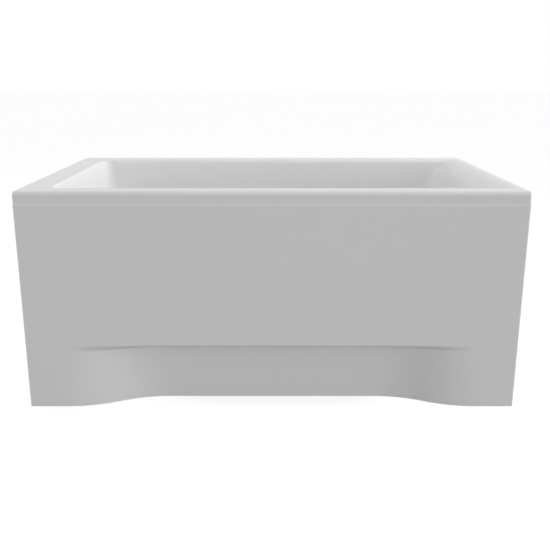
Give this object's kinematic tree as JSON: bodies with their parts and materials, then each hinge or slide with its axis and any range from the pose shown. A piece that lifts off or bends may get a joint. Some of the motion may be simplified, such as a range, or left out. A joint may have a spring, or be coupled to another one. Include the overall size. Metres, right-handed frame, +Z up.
{
  "type": "alcove bathtub",
  "caption": "Short rectangular acrylic bath with a sloped back rest, a one-piece front panel with a swept toe recess, a steel cradle on screw feet and a turn-knob pop-up waste.",
  "frame": {"origin": "on the floor, under the middle of the rim", "axes": "+X along the bath towards the back rest, +Y to the long wall behind, +Z up"},
  "size_m": [1.2, 0.7, 0.54],
  "materials": {
    "acrylic": "polished white acrylic",
    "panel_acrylic": "polished white acrylic sheet",
    "glass_fibre": "sprayed glass fibre and resin, matt",
    "board": "chipboard",
    "timber": "planed softwood",
    "zinc_steel": "galvanised",
    "zinc_screw": "bright zinc plate",
    "chrome": "polished chrome plate",
    "plumbing_white": "moulded polypropylene, satin",
    "nut_white": "moulded polypropylene, satin",
    "plastic_grey": "moulded nylon, satin",
    "plastic_black": "moulded nylon, satin",
    "seal_rubber": "matt",
    "cable_sheath": "smooth"
  },
  "bodies": {
    "bath": {"backing_layer": "glass_fibre", "base_board": "board", "bath_shell": "acrylic", "bowden_cable": "cable_sheath", "bracket_screws": "zinc_screw", "cable_clips": "plastic_grey", "cable_housing": "plastic_grey", "cleaning_cap": "nut_white", "cradle_rail_foot": "zinc_steel", "cradle_rail_head": "zinc_steel", "front_panel": "panel_acrylic", "outlet_nut": "nut_white", "outlet_pipe": "plumbing_white", "overflow_bezel": "chrome", "overflow_body": "plumbing_white", "overflow_nut_lower": "nut_white", "overflow_nut_upper": "nut_white", "overflow_pipe": "plumbing_white", "overflow_screws": "chrome", "overflow_seal": "seal_rubber", "panel_clips": "zinc_steel", "panel_stays": "zinc_steel", "panel_stiffener": "timber", "rail_screws": "zinc_screw", "rim_batten_back": "timber", "rim_batten_front": "timber", "rod_nuts": "zinc_steel", "stay_bolts": "zinc_screw", "stay_screws": "zinc_screw", "threaded_rods": "zinc_steel", "trap_body": "plumbing_white", "trap_inlet_nut": "nut_white", "trap_washer": "seal_rubber", "wall_brackets": "zinc_steel", "waste_body": "plumbing_white", "waste_flange": "chrome", "waste_seal_lower": "seal_rubber", "waste_seal_upper": "seal_rubber"},
    "knob": {"overflow_knob": "chrome", "knob_spindle": "plastic_grey"},
    "plug": {"popup_plug": "chrome", "plug_seal": "seal_rubber"},
    "rocker": {"lift_rocker": "plastic_grey"},
    "screw_foot_foot_front": {"foot_pad_foot_front": "plastic_black", "foot_sleeve_foot_front": "zinc_steel"},
    "screw_foot_foot_back": {"foot_pad_foot_back": "plastic_black", "foot_sleeve_foot_back": "zinc_steel"},
    "screw_foot_head_front": {"foot_pad_head_front": "plastic_black", "foot_sleeve_head_front": "zinc_steel"},
    "screw_foot_head_back": {"foot_pad_head_back": "plastic_black", "foot_sleeve_head_back": "zinc_steel"}
  },
  "joints": [
    {"name": "knob_turn", "type": "hinge", "parent": "bath", "child": "knob", "pos_m": [-0.5143, -0.0075, 0.455], "axis": [0.989, 0, 0.1478], "range_deg": [0, 90]},
    {"name": "plug_lift", "type": "slide", "parent": "bath", "child": "plug", "axis": [0, 0, 1], "range_m": [0, 0.0094]},
    {"name": "rocker_turn", "type": "hinge", "parent": "bath", "child": "rocker", "pos_m": [-0.359, -0.0075, 0.1037], "axis": [0, -1, 0], "range_deg": [0, 28]},
    {"name": "foot_screw_foot_front", "type": "slide", "parent": "bath", "child": "screw_foot_foot_front", "axis": [0, 0, -1], "range_m": [-0.005, 0.02]},
    {"name": "foot_screw_foot_back", "type": "slide", "parent": "bath", "child": "screw_foot_foot_back", "axis": [0, 0, -1], "range_m": [-0.005, 0.02]},
    {"name": "foot_screw_head_front", "type": "slide", "parent": "bath", "child": "screw_foot_head_front", "axis": [0, 0, -1], "range_m": [-0.005, 0.02]},
    {"name": "foot_screw_head_back", "type": "slide", "parent": "bath", "child": "screw_foot_head_back", "axis": [0, 0, -1], "range_m": [-0.005, 0.02]}
  ],
  "couplings": [
    {"joint": "plug_lift", "follows": "knob_turn", "m_per_rad": 0.005984},
    {"joint": "rocker_turn", "follows": "knob_turn", "ratio": 0.3111}
  ]
}
